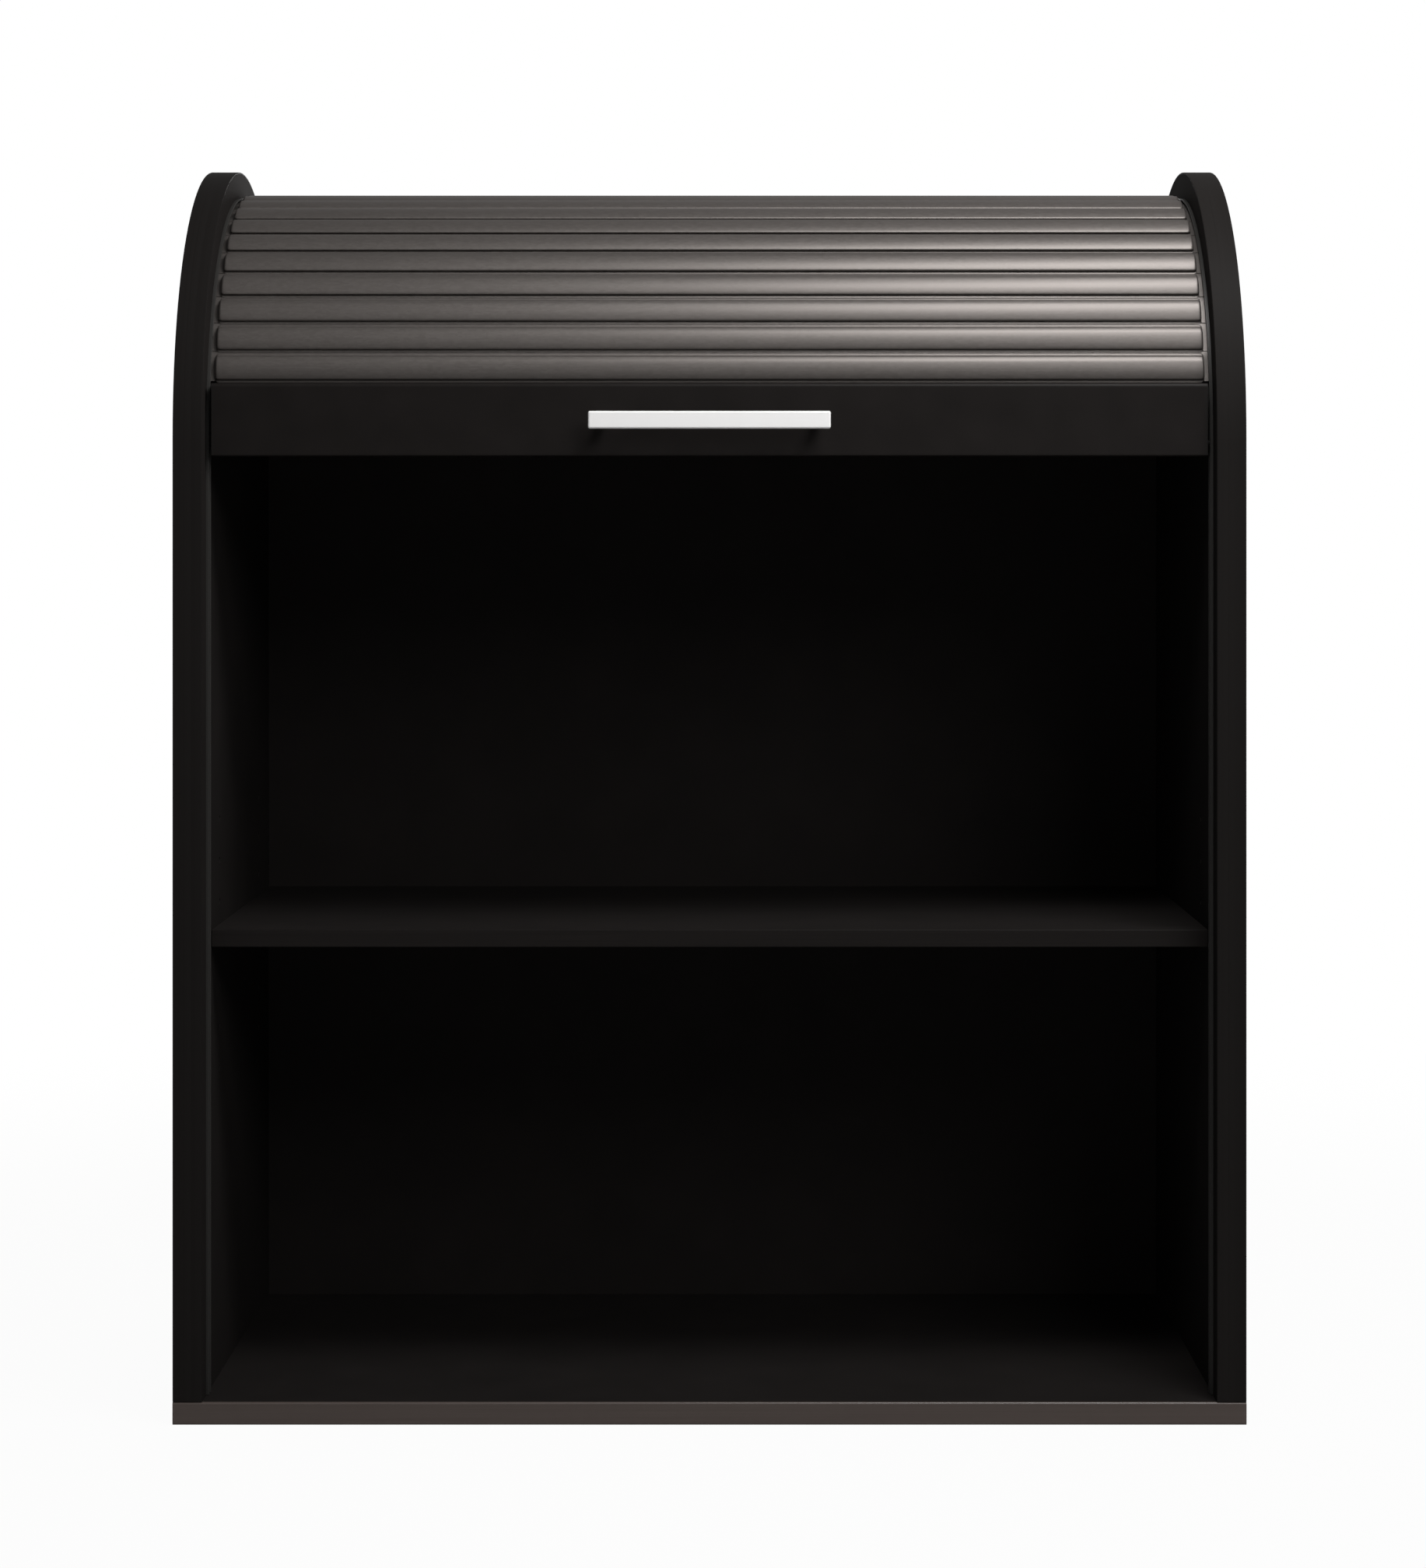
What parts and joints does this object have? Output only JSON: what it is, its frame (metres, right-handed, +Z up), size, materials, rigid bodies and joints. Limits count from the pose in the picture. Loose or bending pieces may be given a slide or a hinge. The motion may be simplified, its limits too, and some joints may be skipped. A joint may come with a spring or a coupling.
{
  "type": "tambour cabinet",
  "caption": "Low office cabinet with a half-round top, a sliding curtain of grey slats that runs over the top into the back, one shelf and a bar handle.",
  "frame": {"origin": "middle of the base's underside", "axes": "+X to the right seen from the front, +Y to the back, +Z up"},
  "size_m": [0.8, 0.453, 0.955],
  "materials": {
    "board": "black melamine faced chipboard",
    "side_band": "black ABS edge band",
    "base_band": "grey-brown ABS edge band",
    "rail": "black extruded PVC channel",
    "slat": "metallic grey extruded polypropylene",
    "cap": "black moulded nylon",
    "lath": "black powder coated aluminium",
    "handle": "satin anodised aluminium",
    "steel": "zinc plated steel",
    "cam": "die-cast zinc",
    "beech": "fluted beech dowel"
  },
  "bodies": {
    "carcass": {"base_panel": "board", "base_edge_band": "base_band", "base_screws": "steel", "side_panel_right": "board", "side_panel_left": "board", "side_edge_band_right": "side_band", "side_edge_band_left": "side_band", "guide_rail_right": "rail", "guide_rail_left": "rail", "rear_panel": "board", "false_back_panel": "board", "inner_top_panel": "board", "cam_locks": "cam", "cam_bolts": "steel", "wooden_dowels": "beech", "shelf": "board", "shelf_edge_band": "side_band", "shelf_pins": "steel"},
    "lath": {"lath": "lath", "lath_end_caps": "cap", "lath_guide_pins": "cap", "handle": "handle", "handle_screws": "steel"},
    "slat_pair_01": {"slat_pair_01": "slat"},
    "slat_pair_02": {"slat_pair_02": "slat"},
    "slat_pair_03": {"slat_pair_03": "slat"},
    "slat_pair_04": {"slat_pair_04": "slat"},
    "slat_pair_05": {"slat_pair_05": "slat"},
    "slat_pair_06": {"slat_pair_06": "slat"},
    "slat_pair_07": {"slat_pair_07": "slat"},
    "slat_pair_08": {"slat_pair_08": "slat"},
    "slat_pair_09": {"slat_pair_09": "slat"},
    "slat_pair_10": {"slat_pair_10": "slat"},
    "slat_pair_11": {"slat_pair_11": "slat"},
    "slat_pair_12": {"slat_pair_12": "slat"},
    "slat_pair_13": {"slat_pair_13": "slat"},
    "slat_pair_14": {"slat_pair_14": "slat"},
    "slat_pair_15": {"slat_pair_15": "slat"},
    "slat_pair_16": {"slat_pair_16": "slat"},
    "slat_pair_17": {"slat_pair_17": "slat"},
    "slat_pair_18": {"slat_pair_18": "slat"},
    "slat_pair_19": {"slat_pair_19": "slat"},
    "slat_pair_20": {"slat_pair_20": "slat"},
    "slat_pair_21": {"slat_pair_21": "slat"},
    "slat_pair_22": {"slat_pair_22": "slat"},
    "slat_pair_23": {"slat_pair_23": "slat"},
    "slat_pair_24": {"slat_pair_24": "slat"},
    "slat_pair_25": {"slat_pair_25": "slat"},
    "slat_pair_26": {"slat_pair_26": "slat"},
    "slat_pair_27": {"slat_pair_27": "slat"}
  },
  "joints": [
    {"name": "lath_slide", "type": "slide", "parent": "carcass", "child": "lath", "axis": [0, 0, -1], "range_m": [0, 0.7045]},
    {"name": "slat_pair_01_turn", "type": "hinge", "parent": "carcass", "child": "slat_pair_01", "pos_m": [0, 1.83474, 0.4121], "axis": [1, 0, 0], "range_deg": [0, 19.72], "deforming": ["slat_pair_01"]},
    {"name": "slat_pair_02_turn", "type": "hinge", "parent": "carcass", "child": "slat_pair_02", "pos_m": [0, 0.9734, 0.43768], "axis": [1, 0, 0], "range_deg": [0, 33.71], "deforming": ["slat_pair_02"]},
    {"name": "slat_pair_03_turn", "type": "hinge", "parent": "carcass", "child": "slat_pair_03", "pos_m": [0, 0.61292, 0.46224], "axis": [1, 0, 0], "range_deg": [0, 47.69], "deforming": ["slat_pair_03"]},
    {"name": "slat_pair_04_turn", "type": "hinge", "parent": "carcass", "child": "slat_pair_04", "pos_m": [0, 0.41367, 0.48646], "axis": [1, 0, 0], "range_deg": [0, 61.68], "deforming": ["slat_pair_04"]},
    {"name": "slat_pair_05_turn", "type": "hinge", "parent": "carcass", "child": "slat_pair_05", "pos_m": [0, 0.2872, 0.51054], "axis": [1, 0, 0], "range_deg": [0, 75.67], "deforming": ["slat_pair_05"]},
    {"name": "slat_pair_06_turn", "type": "hinge", "parent": "carcass", "child": "slat_pair_06", "pos_m": [0, 0.20028, 0.53455], "axis": [1, 0, 0], "range_deg": [0, 89.65], "deforming": ["slat_pair_06"]},
    {"name": "slat_pair_07_turn", "type": "hinge", "parent": "carcass", "child": "slat_pair_07", "pos_m": [0, 0.13767, 0.55851], "axis": [1, 0, 0], "range_deg": [0, 103.64], "deforming": ["slat_pair_07"]},
    {"name": "slat_pair_08_turn", "type": "hinge", "parent": "carcass", "child": "slat_pair_08", "pos_m": [0, 0.0914, 0.58244], "axis": [1, 0, 0], "range_deg": [0, 117.62], "deforming": ["slat_pair_08"]},
    {"name": "slat_pair_09_turn", "type": "hinge", "parent": "carcass", "child": "slat_pair_09", "pos_m": [0, 0.05696, 0.60635], "axis": [1, 0, 0], "range_deg": [0, 131.61], "deforming": ["slat_pair_09"]},
    {"name": "slat_pair_10_turn", "type": "hinge", "parent": "carcass", "child": "slat_pair_10", "pos_m": [0, 0.03165, 0.63025], "axis": [1, 0, 0], "range_deg": [0, 145.6], "deforming": ["slat_pair_10"]},
    {"name": "slat_pair_11_turn", "type": "hinge", "parent": "carcass", "child": "slat_pair_11", "pos_m": [0, 0.01383, 0.65415], "axis": [1, 0, 0], "range_deg": [0, 159.58], "deforming": ["slat_pair_11"]},
    {"name": "slat_pair_12_turn", "type": "hinge", "parent": "carcass", "child": "slat_pair_12", "pos_m": [0, 0.00249, 0.67802], "axis": [1, 0, 0], "range_deg": [0, 173.56], "deforming": ["slat_pair_12"]},
    {"name": "slat_pair_13_turn", "type": "hinge", "parent": "carcass", "child": "slat_pair_13", "pos_m": [0, 0, 0.68906], "axis": [1, 0, 0], "range_deg": [0, 180.02], "deforming": ["slat_pair_13"]},
    {"name": "slat_pair_14_turn", "type": "hinge", "parent": "carcass", "child": "slat_pair_14", "pos_m": [0, 0, 0.68892], "axis": [1, 0, 0], "range_deg": [0, 179.94], "deforming": ["slat_pair_14"]},
    {"name": "slat_pair_15_turn", "type": "hinge", "parent": "carcass", "child": "slat_pair_15", "pos_m": [0, -0.00377, 0.67452], "axis": [1, 0, 0], "range_deg": [0, 171.51], "deforming": ["slat_pair_15"]},
    {"name": "slat_pair_16_turn", "type": "hinge", "parent": "carcass", "child": "slat_pair_16", "pos_m": [0, -0.01602, 0.65063], "axis": [1, 0, 0], "range_deg": [0, 157.53], "deforming": ["slat_pair_16"]},
    {"name": "slat_pair_17_turn", "type": "hinge", "parent": "carcass", "child": "slat_pair_17", "pos_m": [0, -0.03487, 0.62674], "axis": [1, 0, 0], "range_deg": [0, 143.54], "deforming": ["slat_pair_17"]},
    {"name": "slat_pair_18_turn", "type": "hinge", "parent": "carcass", "child": "slat_pair_18", "pos_m": [0, -0.0614, 0.60284], "axis": [1, 0, 0], "range_deg": [0, 129.55], "deforming": ["slat_pair_18"]},
    {"name": "slat_pair_19_turn", "type": "hinge", "parent": "carcass", "child": "slat_pair_19", "pos_m": [0, -0.09737, 0.57892], "axis": [1, 0, 0], "range_deg": [0, 115.57], "deforming": ["slat_pair_19"]},
    {"name": "slat_pair_20_turn", "type": "hinge", "parent": "carcass", "child": "slat_pair_20", "pos_m": [0, -0.14571, 0.55499], "axis": [1, 0, 0], "range_deg": [0, 101.58], "deforming": ["slat_pair_20"]},
    {"name": "slat_pair_21_turn", "type": "hinge", "parent": "carcass", "child": "slat_pair_21", "pos_m": [0, -0.21128, 0.53102], "axis": [1, 0, 0], "range_deg": [0, 87.6], "deforming": ["slat_pair_21"]},
    {"name": "slat_pair_22_turn", "type": "hinge", "parent": "carcass", "child": "slat_pair_22", "pos_m": [0, -0.30279, 0.50701], "axis": [1, 0, 0], "range_deg": [0, 73.61], "deforming": ["slat_pair_22"]},
    {"name": "slat_pair_23_turn", "type": "hinge", "parent": "carcass", "child": "slat_pair_23", "pos_m": [0, -0.4372, 0.48291], "axis": [1, 0, 0], "range_deg": [0, 59.62], "deforming": ["slat_pair_23"]},
    {"name": "slat_pair_24_turn", "type": "hinge", "parent": "carcass", "child": "slat_pair_24", "pos_m": [0, -0.65228, 0.45865], "axis": [1, 0, 0], "range_deg": [0, 45.64], "deforming": ["slat_pair_24"]},
    {"name": "slat_pair_25_turn", "type": "hinge", "parent": "carcass", "child": "slat_pair_25", "pos_m": [0, -1.05274, 0.43402], "axis": [1, 0, 0], "range_deg": [0, 31.65], "deforming": ["slat_pair_25"]},
    {"name": "slat_pair_26_turn", "type": "hinge", "parent": "carcass", "child": "slat_pair_26", "pos_m": [0, -2.07517, 0.40811], "axis": [1, 0, 0], "range_deg": [0, 17.67], "deforming": ["slat_pair_26"]},
    {"name": "slat_pair_27_turn", "type": "hinge", "parent": "carcass", "child": "slat_pair_27", "pos_m": [0, -9.75074, 0.37143], "axis": [1, 0, 0], "range_deg": [0, 4.08], "deforming": ["slat_pair_27"]}
  ],
  "couplings": [
    {"joint": "slat_pair_01_turn", "follows": "lath_slide", "rad_per_m": 0.4881},
    {"joint": "slat_pair_02_turn", "follows": "lath_slide", "rad_per_m": 0.83459},
    {"joint": "slat_pair_03_turn", "follows": "lath_slide", "rad_per_m": 1.1811},
    {"joint": "slat_pair_04_turn", "follows": "lath_slide", "rad_per_m": 1.5276},
    {"joint": "slat_pair_05_turn", "follows": "lath_slide", "rad_per_m": 1.8741},
    {"joint": "slat_pair_06_turn", "follows": "lath_slide", "rad_per_m": 2.2206},
    {"joint": "slat_pair_07_turn", "follows": "lath_slide", "rad_per_m": 2.567},
    {"joint": "slat_pair_08_turn", "follows": "lath_slide", "rad_per_m": 2.9135},
    {"joint": "slat_pair_09_turn", "follows": "lath_slide", "rad_per_m": 3.26},
    {"joint": "slat_pair_10_turn", "follows": "lath_slide", "rad_per_m": 3.6065},
    {"joint": "slat_pair_11_turn", "follows": "lath_slide", "rad_per_m": 3.953},
    {"joint": "slat_pair_12_turn", "follows": "lath_slide", "rad_per_m": 4.2992},
    {"joint": "slat_pair_13_turn", "follows": "lath_slide", "rad_per_m": 4.4593},
    {"joint": "slat_pair_14_turn", "follows": "lath_slide", "rad_per_m": 4.4573},
    {"joint": "slat_pair_15_turn", "follows": "lath_slide", "rad_per_m": 4.2486},
    {"joint": "slat_pair_16_turn", "follows": "lath_slide", "rad_per_m": 3.9021},
    {"joint": "slat_pair_17_turn", "follows": "lath_slide", "rad_per_m": 3.5556},
    {"joint": "slat_pair_18_turn", "follows": "lath_slide", "rad_per_m": 3.2091},
    {"joint": "slat_pair_19_turn", "follows": "lath_slide", "rad_per_m": 2.8626},
    {"joint": "slat_pair_20_turn", "follows": "lath_slide", "rad_per_m": 2.5161},
    {"joint": "slat_pair_21_turn", "follows": "lath_slide", "rad_per_m": 2.1696},
    {"joint": "slat_pair_22_turn", "follows": "lath_slide", "rad_per_m": 1.8231},
    {"joint": "slat_pair_23_turn", "follows": "lath_slide", "rad_per_m": 1.4766},
    {"joint": "slat_pair_24_turn", "follows": "lath_slide", "rad_per_m": 1.1301},
    {"joint": "slat_pair_25_turn", "follows": "lath_slide", "rad_per_m": 0.78366},
    {"joint": "slat_pair_26_turn", "follows": "lath_slide", "rad_per_m": 0.43717},
    {"joint": "slat_pair_27_turn", "follows": "lath_slide", "rad_per_m": 0.1005}
  ]
}
